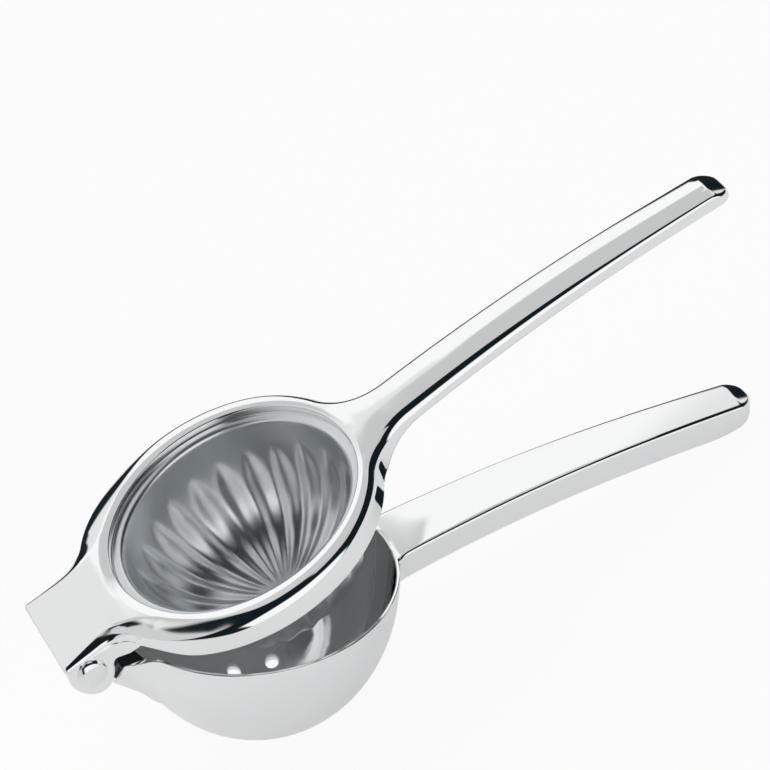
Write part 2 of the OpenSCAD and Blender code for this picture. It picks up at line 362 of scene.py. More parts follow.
def upper_outline():
    """Half the upper arm's plan, from the plate's back to the handle's tip, with outward directions.

    The plate's straight side turns by a hollow corner into the ring's circle, and that by another into the
    tapering side of the handle, which ends in a rounded corner.
    """
    c = np.array([RING_X, 0.0])
    m1 = plate_hollow_middle()
    root = RING_X + RING_R
    a = math.atan2(UPPER_TIP_W - UPPER_ROOT_W, UPPER_TIP_X - root)
    m2 = hollow_middle(c, RING_R, [root, UPPER_ROOT_W], a, UPPER_HOLLOW_R)
    k = tip_corner(UPPER_TIP_X, UPPER_TIP_W, UPPER_TIP_R, a)
    side_start = m2 + UPPER_HOLLOW_R * np.array([math.sin(a), -math.cos(a)])
    side_end = k + UPPER_TIP_R * np.array([-math.sin(a), math.cos(a)])
    back = -PLATE_BACK + PLATE_BACK_R
    parts = [
        straight([-PLATE_BACK, 0], [-PLATE_BACK, PLATE_HALF_W - PLATE_BACK_R], 12),
        bend([back, PLATE_HALF_W - PLATE_BACK_R], PLATE_BACK_R, 180, 90, 6),
        straight([back, PLATE_HALF_W], [m1[0], PLATE_HALF_W], 12),
        bend(m1, PLATE_HOLLOW_R, 270, angle_of(c - m1) + 360, 22),
        bend(c, RING_R, angle_of(m1 - c), angle_of(m2 - c), 120),
        bend(m2, UPPER_HOLLOW_R, angle_of(c - m2) + 360, math.degrees(a) + 270, 34),
        straight(side_start, side_end, 70),
        bend(k, UPPER_TIP_R, math.degrees(a) + 90, 0, 14),
        straight([UPPER_TIP_X, k[1]], [UPPER_TIP_X, 0], 4),
    ]
    ends = np.cumsum([len(p[0]) for p in parts])
    points = np.concatenate([p[0] for p in parts] + [[[UPPER_TIP_X, 0.0]]])
    out = np.concatenate([p[1] for p in parts] + [[[1.0, 0.0]]])
    return points, out, ends


def upper_line_z(x):
    """Height of the upper arm's top along its middle: a rising plate, the level ring, the bowed handle.

    The bow is 4*u*(1 - u) along the handle, and its last fifth runs out nearly straight.
    """
    u = (x - RING_X - RING_R) / (UPPER_TIP_X - RING_X - RING_R)
    bow = u * (1 - u) + 0.7 * np.maximum(0, u - 0.8) ** 2
    handle = UPPER_RISE * u + 4 * UPPER_BOW * bow
    plate = smooth_line(x, [-7, 0, 9, 14, 20, 26, 33, 40], [-2.1, -1.0, 0.42, 0.5, 0.4, 0.2, 0, 0], 4)
    return RING_TOP_Z + soft_max(0 * x, handle, 0.9) + plate


def tip_bevel(x, tip_x, length, slope):
    """How far a bevel of the given length has fallen at x, on its way down to the tip."""
    return slope * soft_max(0 * x, x - tip_x + length, 0.25)


def crown(x, y, height, start, half, limit):
    """How far a handle's sides lie below its middle: height*(y/half)**2, eased in over 20 mm from start."""
    return height * ease((x - start) / 20) * np.clip(np.abs(y) / half, 0, limit) ** 2


def upper_top(p):
    """The line's height, less a crown across the handle, a slight fall to the mouth and the tip's bevel."""
    x, y = p.T
    half = np.interp(x, [RING_X + RING_R, UPPER_TIP_X], [UPPER_ROOT_W, UPPER_TIP_W])
    out = np.hypot(x - MOUTH_X, y) - MOUTH_R
    inside = 1.9 - 0.7 * (x - RING_X) / RING_R - out
    fall = 0.085 * soft_max(0 * x, inside, 0.4)
    return (upper_line_z(x) - crown(x, y, 0.55, 86, half, 1.3) - fall
            - tip_bevel(x, UPPER_TIP_X, UPPER_BEVEL, UPPER_BEVEL_SLOPE))


def upper_under(p):
    """Underside: flat below the ring, thinning away under the handle, raised over the knuckle."""
    x, y = p.T
    run = np.maximum(0, 1 - (x - RING_X - RING_R) / 16)
    ring = RING_UNDER_Z + 2.3 * np.exp(-((x - 15.5) / 5.5) ** 2)
    thick = UPPER_T + (RING_TOP_Z - RING_UNDER_Z - UPPER_T) * np.minimum(run, 1) ** 2
    handle = upper_line_z(x) - thick
    ring_left = RING_X - np.sqrt(np.maximum(RING_R ** 2 - y ** 2, 0))
    step = ease((x - ring_left + 2.4) / 3)
    plate = PLATE_UNDER_Z + (ring - PLATE_UNDER_Z) * step
    far = np.where(x > RING_X + RING_R - 6, np.maximum(handle, RING_UNDER_Z), RING_UNDER_Z)
    return np.where(x > RING_X, far, plate)


def upper_edge(i, edge, ends):
    """Width and height of the rounded top edge and how far it leans, for each section of the upper arm.

    It is small on the plate, wide on the ring, as each angle about the ring asks, and a line on the handle.
    """
    plate_and_handle = [
        (0, 0.8, 0.8), (ends[1], 0.9, 0.9), (ends[1] + 5, 2.0, 1.2), (ends[2], 2.6, 1.4),
        (ends[2] + 16, 3.4, 1.0), (ends[3] + 8, 5.6, 0.6), (ends[4] - 14, 2.5, 2.7),
        (ends[4] + 10, 2.4, 2.6), (ends[5], 2.2, 2.2), (ends[6] - 6, 1.0, 1.0), (ends[6] + 4, 0.6, 0.6),
        (len(i) - 1, 0.6, 0.6)]
    spots, widths, heights = zip(*plate_and_handle)
    wide = np.interp(i, spots, widths)
    high = np.interp(i, spots, heights)
    on_ring = (i > ends[3] - 3) & (i < ends[4] - 6)
    around = np.degrees(np.arctan2(edge[on_ring, 1], edge[on_ring, 0] - RING_X))
    wide[on_ring] = np.interp(around, [20, 34, 50, 66, 98, 106, 114, 122, 130, 152],
                              [2.5, 2.2, 1.7, 2.0, 2.7, 3.5, 4.6, 5.3, 6.2, 6.2])
    high[on_ring] = np.interp(around, [20, 50, 66, 98, 106, 114, 122, 130, 140, 152],
                              [2.8, 2.6, 3.0, 3.2, 2.6, 2.1, 1.5, 0.95, 0.75, 0.5])
    wide = smooth_run(wide, 15)
    high = smooth_run(high, 15)
    wide[:ends[1]] = np.minimum(wide[:ends[1]], 1.1)
    lean = np.interp(i, [ends[1], ends[1] + 4, ends[2] + 8, ends[2] + 14], [0.1, 0.22, 0.22, 0.1])
    return wide, high, lean


def upper_body_grids():
    """The upper arm without its ears: sections from the middle line or the mouth, out to the edge and back.

    A section runs over the top, round the edge by a quarter ellipse, down the side and back underneath.
    """
    edge, out, ends = upper_outline()
    n = len(edge)
    i = np.arange(n)
    # Where the sections start: along the plate, round the mouth, along the handle
    left = ends[2] + 10
    right = ends[4] + 16
    plate = i < left
    handle = i > right
    ray = rays(np.interp(i, [left, right], [180, 0]))
    starts = []
    for r in (MOUTH_R + MOUTH_EDGE, SEAT_R + SEAT_EDGE):
        inner = [MOUTH_X, 0] + r * ray
        inner[plate, 0] = np.interp(i[plate], [0, ends[1], left], [-3.4, -2.0, MOUTH_X - r])
        inner[handle, 0] = np.interp(i[handle], [right, ends[6], n - 1],
                                     [MOUTH_X + r, UPPER_TIP_X - 5.5, UPPER_TIP_X - 4.6])
        inner[plate | handle, 1] = 0
        starts.append(inner)
    in_top, in_low = starts
    wide, high, lean = upper_edge(i, edge, ends)
    low_r = np.interp(i, [0, ends[4] - 4, ends[5], n - 1], [0.4, 0.4, 1.2, 0.6])

    rows = []
    band = edge - out * wide[:, None]
    for p in steps(in_top, band, np.linspace(0, 1, 17)[:-1]):
        rows.append(raised(p, upper_top(p)))
    for side, down in quarter(13):
        p = edge - out * (wide * side)[:, None]
        drop = high * down + lean * wide * (1 - side)
        rows.append(raised(p, upper_top(p) - drop))
    for z in steps(rows[-1][:, 2], upper_under(edge) + low_r, np.linspace(0, 1, 11)[1:]):
        rows.append(raised(edge, z))
    for up, across in quarter(6)[1:]:
        p = edge - out * (low_r * across)[:, None]
        rows.append(raised(p, upper_under(p) + low_r * up))
    for p in steps(edge - out * low_r[:, None], in_low, np.linspace(0, 1, 13)[1:]):
        rows.append(raised(p, upper_under(p)))

    # Mouth wall, seat and the bore below it, on the same turns
    ring_part = (i >= left) & (i <= right)
    ray = ray[ring_part]
    top_z = rows[0][ring_part, 2]
    low_z = rows[-1][ring_part, 2]
    wall = [(MOUTH_R + MOUTH_EDGE * side, top_z - MOUTH_EDGE * down) for side, down in quarter(7)]
    wall += [(MOUTH_R, SEAT_Z + 1), (MOUTH_R, SEAT_Z), (SEAT_R, SEAT_Z), (SEAT_R, SEAT_Z - 2)]
    wall += [(SEAT_R + SEAT_EDGE * across, low_z + SEAT_EDGE * up) for up, across in quarter(5)]
    strip = [raised([MOUTH_X, 0] + r * ray, z) for r, z in wall]
    return both_sides(np.array(rows)) + both_sides(np.array(strip))


def ear_face_y(p):
    """The ear's face follows the plan of the upper arm, a hair outside it."""
    middle = plate_hollow_middle()
    d = np.clip(p[:, 0] - middle[0], 0, PLATE_HOLLOW_R - 0.1)
    return middle[1] - np.sqrt(PLATE_HOLLOW_R ** 2 - d ** 2) + 0.01


def ear_grids():
    """One ear, a plate across Y: face, rounded edge, rim and inner face about its middle.

    Its outline is a circle about the rivet, a little fuller below, and a hollow corner up to the ring's
    underside. The rest lies hidden in the plate and the ring.
    """
    top_back = [-5.0, 4.6]
    back = straight(top_back, [-6.1, 0.6], 5)[0]
    middle_z = RING_UNDER_Z - EAR_HOLLOW_R
    hollow = np.array([math.sqrt((EAR_R + EAR_HOLLOW_R) ** 2 - middle_z ** 2), middle_z])
    round_part = rays(np.linspace(183, angle_of(hollow) + 360, 60, endpoint=False))
    fuller = 1.5 * np.clip(-round_part[:, 1], 0, 1) ** 2
    round_part = EAR_R * round_part - np.column_stack([0 * fuller, fuller])
    concave = hollow + EAR_HOLLOW_R * rays(np.linspace(angle_of(-hollow), 90, 20))
    hidden = [[11.5, RING_UNDER_Z], [12.8, 0.9], [13.9, 2.0], [14, 3], [12.5, 4.2], [10, 4.6], [0, 4.7],
              top_back]
    outline = np.concatenate([back, round_part, concave, hidden])
    last = len(outline) - len(hidden)
    edge_r = np.full(len(outline), 0.02)
    edge_r[3:last + 1] = EAR_EDGE
    edge_r[last + 1:last + 3] = [0.5, 0.2]
    centre = np.array([1.5, 0.8])
    out = outward(outline, centre)
    flat_edge = outline - out * (edge_r + 0.08)[:, None]

    flat = steps(centre, flat_edge, np.linspace(0, 1, 9))
    rows = [row_xz(p, ear_face_y(p)) for p in flat]
    for side, down in quarter(7):
        p = outline - out * (edge_r * side)[:, None]
        rows.append(row_xz(p, ear_face_y(p) - edge_r * down))
    for side, down in quarter(7):
        p = outline - out * (edge_r * down)[:, None]
        rows.append(row_xz(p, EAR_IN + edge_r * side))
    rows += [row_xz(p, EAR_IN) for p in flat[::-1]]
    return np.array(rows)


# Lower arm

def bowl_r_at(z):
    """Radius of the bowl's outside at height z: an upright half ellipse that flares slightly at the rim."""
    d = np.clip((RIM_Z - z) / BOWL_DEPTH, 0, 1)
    return BOWL_R * np.sqrt(1 - d * d) + RIM_FLARE * (1 - d) ** 4


def bowl_in_r_at(z):
    """Radius of the bowl's inside at height z: a smaller half ellipse, and a wall that thins at the rim."""
    d = np.clip((RIM_Z - z) / BOWL_IN_DEPTH, 0, 1)
    return BOWL_IN_R * np.sqrt(1 - d * d) + (RIM_FLARE + RIM_THIN) * (1 - d) ** 4


def rim_drop(turn_a):
    """How far the rim dips where the neck leaves it, so that the upper arm's ears and ring clear it."""
    off = np.abs(turn_a % 360 - 180)
    return (RIM_Z - NOTCH_Z) * ease((NOTCH_ANGLE - off) / NOTCH_EASE)


def neck_end_x(z):
    """Where the neck ends towards the back at height z: round the knuckle, then along the keel."""
    barrel = -np.sqrt(np.maximum((KNUCKLE_R - 0.04) ** 2 - z ** 2, 0))
    keel = smooth_line(-z, [2.6, 3.3, 6.9, 14.6, 19.5, 22.6, 34], [-1.2, 0.2, 4.0, 12.8, 16.8, 21.5, 40],
                       1.6)
    return np.where(z > -2.2, barrel, np.maximum(keel, barrel))


def neck_field(x, y, z):
    """Plan distance to the bowl's circle at height z joined to the neck's strip by a hollow corner.

    The strip is narrow beside the ears, within a circle about the rivet, and wide beyond it.
    """
    bowl = np.hypot(x - RING_X, y) - bowl_r_at(z)
    edge_x = np.sqrt(np.maximum(NECK_CLEAR_R ** 2 - z ** 2, 0)) - 20 * ease(-z - 9.6)
    half = NECK_ROOT_HALF_W + (NECK_HALF_W - NECK_ROOT_HALF_W) * ease((x - edge_x) / 0.3 + 0.5)
    strip = np.maximum(round_cut(np.abs(y) - half, neck_end_x(z) - x, 0.7), x - RING_X)
    hollow = np.interp(-z, [0, 8, 16, 24], [5.0, 5.0, 2.5, 1.5])
    return round_join(bowl, strip, hollow)


def cast_out(turn_a, z, inset):
    """Distance from the bowl's axis at which the plan distance reaches -inset, by halving."""
    ray = rays(turn_a)
    near = bowl_r_at(z) - 3
    far = np.full_like(near, 60.0)
    for _ in range(36):
        mid = (near + far) / 2
        inside = neck_field(RING_X + mid * ray[:, 0], mid * ray[:, 1], z) < -inset
        near = np.where(inside, mid, near)
        far = np.where(inside, far, mid)
    return (near + far) / 2


def bowl_turns():
    """Angles about the bowl's axis: closer where the neck leaves it, and with the drain sectors' borders."""
    plain = np.arange(0, 361, 2.5)
    side = np.concatenate([np.arange(9, 13, 0.5), np.arange(13, 22, 0.3), np.arange(22, 28, 0.75)])
    sectors = DRAIN_START + DRAIN_SECTOR / 2 + np.arange(DRAIN_COUNT) * DRAIN_SECTOR
    turns = np.concatenate([plain, 180 - side, 180 + side, sectors, [360]])
    turns = np.unique(np.round(turns % 360, 4))
    keep = np.ones(len(turns), bool)
    gap = np.diff(turns)
    for k in np.where(gap < 0.18)[0]:
        drop = k if np.min(np.abs((turns[k + 1] - sectors) % 360)) < 1e-3 else k + 1
        keep[drop] = False
    return turns[keep]


def bowl_wall_grid(closed):
    """The bowl's wall and neck from the floor's ring up the outside, over the rim and down the inside."""
    ray = rays(closed)
    rim_z = RIM_Z - rim_drop(closed)

    def around(r, z):
        return raised([RING_X, 0] + np.reshape(r, (-1, 1)) * ray, z)

    def wall_z(a, depth, low_z):
        """Heights shared out between the rim, which dips at the neck, and the floor's ring."""
        share = depth * math.sin(a) / (RIM_Z - low_z)
        return rim_z - RIM_ROUND + (low_z - rim_z + RIM_ROUND) * share

    rows = []
    low_a = math.acos(FLOOR_OUT_R / BOWL_R)
    low_z = RIM_Z - BOWL_DEPTH * math.sin(low_a)
    for a in np.linspace(low_a, 0.0, 64)[:-1]:
        z = wall_z(a, BOWL_DEPTH, low_z)
        rows.append(around(cast_out(closed, z, 0.0), z))
    for side, down in quarter(9):
        z = rim_z - RIM_ROUND * side
        rows.append(around(cast_out(closed, z, RIM_ROUND * down), z))
    top_r = np.hypot(rows[-1][:, 0] - RING_X, rows[-1][:, 1])
    flat_r = bowl_in_r_at(rim_z) + RIM_ROUND
    for r in steps(top_r, flat_r, np.linspace(0, 1, 12)[1:]):
        rows.append(around(r, rim_z))
    for side, down in quarter(7)[1:]:
        z = rim_z - RIM_ROUND * down
        rows.append(around(bowl_in_r_at(z) + RIM_ROUND * side, z))
    in_low_a = math.acos(FLOOR_OUT_R / BOWL_IN_R)
    in_low_z = RIM_Z - BOWL_IN_DEPTH * math.sin(in_low_a)
    for a in np.linspace(0, in_low_a, 48)[1:]:
        z = wall_z(a, BOWL_IN_DEPTH, in_low_z)
        rows.append(around(bowl_in_r_at(z), z))
    rows[0] = around(FLOOR_OUT_R, low_z)
    rows[-1] = around(FLOOR_OUT_R, in_low_z)
    return np.array(rows)


def floor_row(p, r, depth, up=0.0):
    """Plan points put on the floor of the half ellipse of radius r and depth, or a little above it."""
    q = np.clip(1 - ((p[:, 0] - RING_X) ** 2 + p[:, 1] ** 2) / r ** 2, 0, 1)
    return raised(p, RIM_Z - depth * np.sqrt(q) + up)


def drain_grid(mid, turns):
    """The sector of the floor round one drain hole, from its border to the hole and back on the inside."""
    low = mid - DRAIN_SECTOR / 2
    high = mid + DRAIN_SECTOR / 2
    past = np.sort((turns - low) % 360)
    between = low + past[(past > 1e-3) & (past < DRAIN_SECTOR - 1e-3)]
    arc_a = np.concatenate([[low], between, [high]])
    levels = np.linspace(FLOOR_OUT_R, FLOOR_IN_R, 13)[1:-1]
    radii = np.concatenate([np.full(len(arc_a), FLOOR_OUT_R), levels, np.full(len(arc_a), FLOOR_IN_R),
                            levels[::-1], [FLOOR_OUT_R]])
    angles = np.concatenate([arc_a, np.full(len(levels), high), arc_a[::-1], np.full(len(levels), low),
                             [low]])
    border = [RING_X, 0] + radii[:, None] * rays(angles)
    hole = [RING_X, 0] + DRAIN_CIRCLE_R * rays(mid)
    ray = outward(border, hole)
    flat = steps(border, hole + ray * (DRAIN_R + DRAIN_LIP), np.linspace(0, 1, 9)[:-1] ** 0.8)

    def face(r, depth, lip):
        """Rows from the border to the hole, with a lip that rounds off into it."""
        rows = [floor_row(p, r, depth) for p in flat]
        for side, into in quarter(5):
            rows.append(floor_row(hole + ray * (DRAIN_R + DRAIN_LIP * side), r, depth, lip * into))
        return rows

    return np.array(face(BOWL_R, BOWL_DEPTH, DRAIN_LIP) + face(BOWL_IN_R, BOWL_IN_DEPTH, -DRAIN_LIP)[::-1])


def bowl_grids():
    """The bowl and neck: wall and rim, both faces of the floor's middle, and a sector for each drain."""
    turns = bowl_turns()
    closed = np.append(turns, turns[0])
    shell = [bowl_wall_grid(closed)]
    for r, depth in ((BOWL_R, BOWL_DEPTH), (BOWL_IN_R, BOWL_IN_DEPTH)):
        shell.append(np.array([floor_row([RING_X, 0] + q * rays(closed), r, depth)
                               for q in np.linspace(FLOOR_IN_R, 0, 9)]))
    for k in range(DRAIN_COUNT):
        shell.append(drain_grid(DRAIN_START + DRAIN_SECTOR * k, turns))
    return shell


def knuckle_grids():
    """The knuckle and the slope from it down to the rim, as an outline in X and Z carried across Y.

    Between the faces of the neck the outline has the slope, and beside them it is the round barrel alone.
    """
    barrel = KNUCKLE_R * rays(np.linspace(72, 250, 48))
    slope_x = np.linspace(9.6, 1.0, 26)[:-1]
    slope_z = smooth_line(slope_x, [-1, 1.0, 5.0, 8.2, 12], [3.7, 3.02, 0.4, NOTCH_Z + 0.02, NOTCH_Z - 0.02],
                          2.2)
    low_part = KNUCKLE_R * rays(np.linspace(-55, 72, len(slope_x), endpoint=False))
    tail = [[0.5, -2.9], [5, NOTCH_Z - 1.2], [9.6, NOTCH_Z - 1.0], [9.6, slope_z[0]]]
    outline = np.concatenate([np.column_stack([slope_x, slope_z]), barrel, tail])
    side = np.concatenate([low_part, barrel, [[0.5, -2.9], [0.9, -2.9], [1.3, -2.8]], [low_part[0]]])
    centre = np.array([0.4, 0.0])
    out = outward(side, centre)
    half = NECK_HALF_W + 0.01
    flat = steps(centre, side - out * KNUCKLE_EDGE, np.linspace(0, 1, 7)[:-1])
    rows = [row_xz(p, half) for p in flat]
    for across, down in quarter(6):
        rows.append(row_xz(side - out * (KNUCKLE_EDGE * across), half - KNUCKLE_EDGE * down))
    for y in [10.5, 9.2, 8.8, 8.4, 8.0, 7.6, 6, 4, 2, 0]:
        rows.append(row_xz(side + (outline - side) * ease((9.0 - y) / 1.2), y))
    return both_sides(np.array(rows))


def lower_run(x):
    """Share of the way from the bowl to the middle of the lower handle's rounded tip."""
    root = RING_X + BOWL_R
    return (x - root) / (LOWER_TIP_X - LOWER_TIP_T / 2 - root)


def lower_line_z(x):
    """Height of the lower handle's top: rises from the rim and levels out towards the tip."""
    return RIM_Z + LOWER_RISE * (1 - np.maximum(1 - lower_run(x), 0) ** LOWER_POWER)


def lower_under_z(x):
    """Height of the lower handle's underside, which ends in a quarter ellipse up to the tip."""
    t = np.clip((x - LOWER_TIP_X + LOWER_NOSE) / (LOWER_NOSE + 0.3), 0, 1)
    nose = LOWER_NOSE_H * (1 - np.sqrt(1 - t * t))
    return lower_line_z(x) - LOWER_ROOT_T - (LOWER_TIP_T - LOWER_ROOT_T) * lower_run(x) + nose


def lower_outline(z):
    """Half the lower handle's plan at heights z, one height for each column, with outward directions.

    It starts inside the bowl's wall, leaves the bowl by a hollow corner, and tapers to a rounded tip.
    """
    r = bowl_r_at(z)
    root = RING_X + BOWL_R
    a = math.atan2(LOWER_TIP_W - LOWER_ROOT_W, LOWER_TIP_X - root)
    out = np.array([-math.sin(a), math.cos(a)])
    m = hollow_middle([RING_X, 0], r[:, None], [root, LOWER_ROOT_W], a, LOWER_HOLLOW_R)
    joint_a = np.degrees(np.arctan2(m[:, 1], m[:, 0] - RING_X))
    k = tip_corner(LOWER_TIP_X, LOWER_TIP_W, LOWER_TIP_R, a)
    points = np.zeros((len(z), 2))
    outs = np.zeros((len(z), 2))
    ends = np.cumsum(LOWER_SPLIT)
    inner, wall, corner, side, tip, end = (slice(e - n, e) for e, n in zip(ends, LOWER_SPLIT))

    ray = rays(joint_a[inner] * np.linspace(0, 1, LOWER_SPLIT[0]))
    points[inner] = [RING_X, 0] + (r[inner] - 1.0)[:, None] * ray
    outs[inner] = -ray
    ray = rays(joint_a[wall])
    depth = np.linspace(0.7, 0.003, LOWER_SPLIT[1])
    points[wall] = [RING_X, 0] + (r[wall] - depth)[:, None] * ray
    outs[wall] = ray
    first = joint_a[corner] + 180
    ray = rays(first + (math.degrees(a) + 270 - first) * np.linspace(0, 1, LOWER_SPLIT[2], endpoint=False))
    points[corner] = m[corner] + LOWER_HOLLOW_R * ray
    outs[corner] = -ray
    start = m[side] - LOWER_HOLLOW_R * out
    t = np.linspace(0, 1, LOWER_SPLIT[3], endpoint=False)[:, None]
    points[side] = start + (k + LOWER_TIP_R * out - start) * t
    outs[side] = out
    points[tip], outs[tip] = bend(k, LOWER_TIP_R, math.degrees(a) + 90, 0, LOWER_SPLIT[4])
    points[end] = straight([LOWER_TIP_X, k[1]], [LOWER_TIP_X, 0], LOWER_SPLIT[5])[0]
    points[-1] = [LOWER_TIP_X, 0]
    outs[ends[4]:] = [1, 0]
    return points, outs


def lower_top(p):
    """Height of the lower handle's top: its line, less a crown across it and the tip's bevel."""
    x, y = p.T
    half = np.interp(x, [RING_X + BOWL_R, LOWER_TIP_X], [LOWER_ROOT_W, LOWER_TIP_W])
    return (np.maximum(lower_line_z(x), RIM_Z - 0.012) - crown(x, y, 0.35, 92, half, 1.2)
            - tip_bevel(x, LOWER_TIP_X, LOWER_BEVEL, LOWER_BEVEL_SLOPE))


def lower_handle_grids():
    """The lower handle as sections from its middle line over the top, round the edge, down and back."""
    n = sum(LOWER_SPLIT) + 1
    i = np.arange(n)
    ends = np.cumsum(LOWER_SPLIT)
    edge, out = lower_outline(np.full(n, RIM_Z))
    # Width and height of the rounded top edge, and radius of the lower one: on the side, then at the tip
    spots = [0, ends[2], ends[3] - 8, ends[3] + 4, n - 1]
    wide, high, low_w = (smooth_run(np.interp(i, spots, sizes), 9) for sizes in (
        [1.0, 1.0, 1.0, 0.8, 0.6], [0.9, 0.9, 0.9, 0.8, 0.6], [0.8, 0.8, 1.0, 0.8, 0.6]))
    wide[:ends[1]] = 0.02
    low_w[:ends[1]] = 0.02
    middle = np.zeros((n, 2))
    root = RING_X + BOWL_R
    middle[:, 0] = np.interp(i, [0, ends[1], ends[3], n - 1],
                             [root - 0.1, root + 0.6, LOWER_TIP_X - 6.4, LOWER_TIP_X - 4.6])

    rows = []
    band = edge - out * wide[:, None]
    for p in steps(middle, band, np.linspace(0, 1, 13)[:-1]):
        rows.append(raised(p, lower_top(p)))
    for side, down in quarter(11):
        p = edge - out * (wide * side)[:, None]
        rows.append(raised(p, lower_top(p) - high * down - 0.1 * wide * (1 - side)))
    top_z = rows[-1][:, 2]
    low_z = lower_under_z(edge[:, 0]) + low_w
    for t in np.linspace(0, 1, 13)[1:]:
        p, _ = lower_outline(top_z + (low_z - top_z) * t)
        low_z = lower_under_z(p[:, 0]) + low_w
        rows.append(raised(p, top_z + (low_z - top_z) * t))
    low_edge, low_out = lower_outline(low_z - low_w)
    for up, across in quarter(8)[1:]:
        p = low_edge - low_out * (low_w * across)[:, None]
        rows.append(raised(p, lower_under_z(p[:, 0]) + low_w * up))
    low_middle = middle.copy()
    low_middle[:ends[1], 0] -= 0.8
    for p in steps(low_edge - low_out * low_w[:, None], low_middle, np.linspace(0, 1, 9)[1:]):
        rows.append(raised(p, lower_under_z(p[:, 0])))
    return both_sides(np.array(rows))


# Press cup

def flute_shape(turn_a, r, d):
    """Depth of a flute: a valley that starts in an arch below the flange and fades out by the flat disc."""
    wave = 0.5 - 0.5 * np.cos(np.radians(turn_a * FLUTES))
    arch = 7.0 + 4.5 * (1 - wave)
    start = ease((d - arch) / 8)
    end = ease((r - CUP_DISC_R) / 6)
    return FLUTE_DEPTH * wave ** 0.8 * start * end


def cup_grids():
    """The cup: flange, fluted side, plain bottom disc, and the same again inside the sheet.

    The side's radius at depth d is r*(1 - (d/depth)**2.5)**0.4, less the flutes.
    """
    turns = np.linspace(0, 360, FLUTES * 16 + 1)
    ray = rays(turns)
    rows = []

    def level(r, z):
        rows.append(raised([MOUTH_X, 0] + np.reshape(r, (-1, 1)) * ray, SEAT_Z + z))

    def side(full_r, depth, first, last):
        for a in np.radians(np.linspace(first, last, 76)):
            d = depth * math.sin(a)
            at_pole = a > math.radians(89.9)
            r = 0 if at_pole else full_r * max(0, 1 - (d / depth) ** CUP_POWER) ** (1 / CUP_POWER)
            level(np.maximum(r - flute_shape(turns, r, d), 0), -d)

    in_r = CUP_R - CUP_WALL
    side(CUP_R, CUP_DEPTH, 90, 0)
    for r, z in ((FLANGE_R, 0.0), (FLANGE_R, 0.5), (FLANGE_R - 0.15, 0.8), (FLANGE_R - 0.4, CUP_WALL),
                 (CUP_R + 0.6, CUP_WALL)):
        level(r, z)
    for a in np.radians(np.linspace(0, 80, 7)):
        level(in_r + CUP_NECK_R * (1 - math.sin(a)), CUP_WALL - CUP_NECK_R * (1 - math.cos(a)))
    side(in_r, CUP_DEPTH - CUP_WALL, 3, 90)
    return [np.array(rows)]


# Rivet halves

def turned(profile):
    """An outline of (radius, y) turned about the rivet's axis."""
    a = np.radians(np.linspace(0, 360, 73))
    profile = np.array(profile, float)
    r, y = profile[:, :1], profile[:, 1:]
    return np.stack([r * np.cos(a), y + 0 * a, r * np.sin(a)], -1)


def head_profile(side):
    """A low dome on the ear's face, from its middle to its rim: R*cos(a)**0.75 out and H*sin(a) up."""
    a = np.radians(np.linspace(0, 90, 26))
    dome = np.column_stack([HEAD_R * np.cos(a) ** 0.75, side * (PLATE_HALF_W + HEAD_H * np.sin(a))])
    return dome[::-1]


def sleeve_grids():
    """The hollow half: a domed head on the near ear and a tube through the knuckle."""
    tube_end = PLATE_HALF_W - 0.05
    bore_r = CORE_R + CORE_CLEAR
    tube = [[SHANK_R, -PLATE_HALF_W], [SHANK_R, tube_end], [bore_r, tube_end], [bore_r, -EAR_IN],
            [0, -EAR_IN]]
    return [turned(np.concatenate([head_profile(-1), tube]))]


def pin_grids():
    """The solid half: a domed head on the far ear and a core inside the tube."""
    core_r = CORE_R - CORE_CLEAR
    core = [[core_r, PLATE_HALF_W], [core_r, -EAR_IN + 0.02], [0, -EAR_IN + 0.02]]
    return [turned(np.concatenate([head_profile(1), core]))]


# Finishes

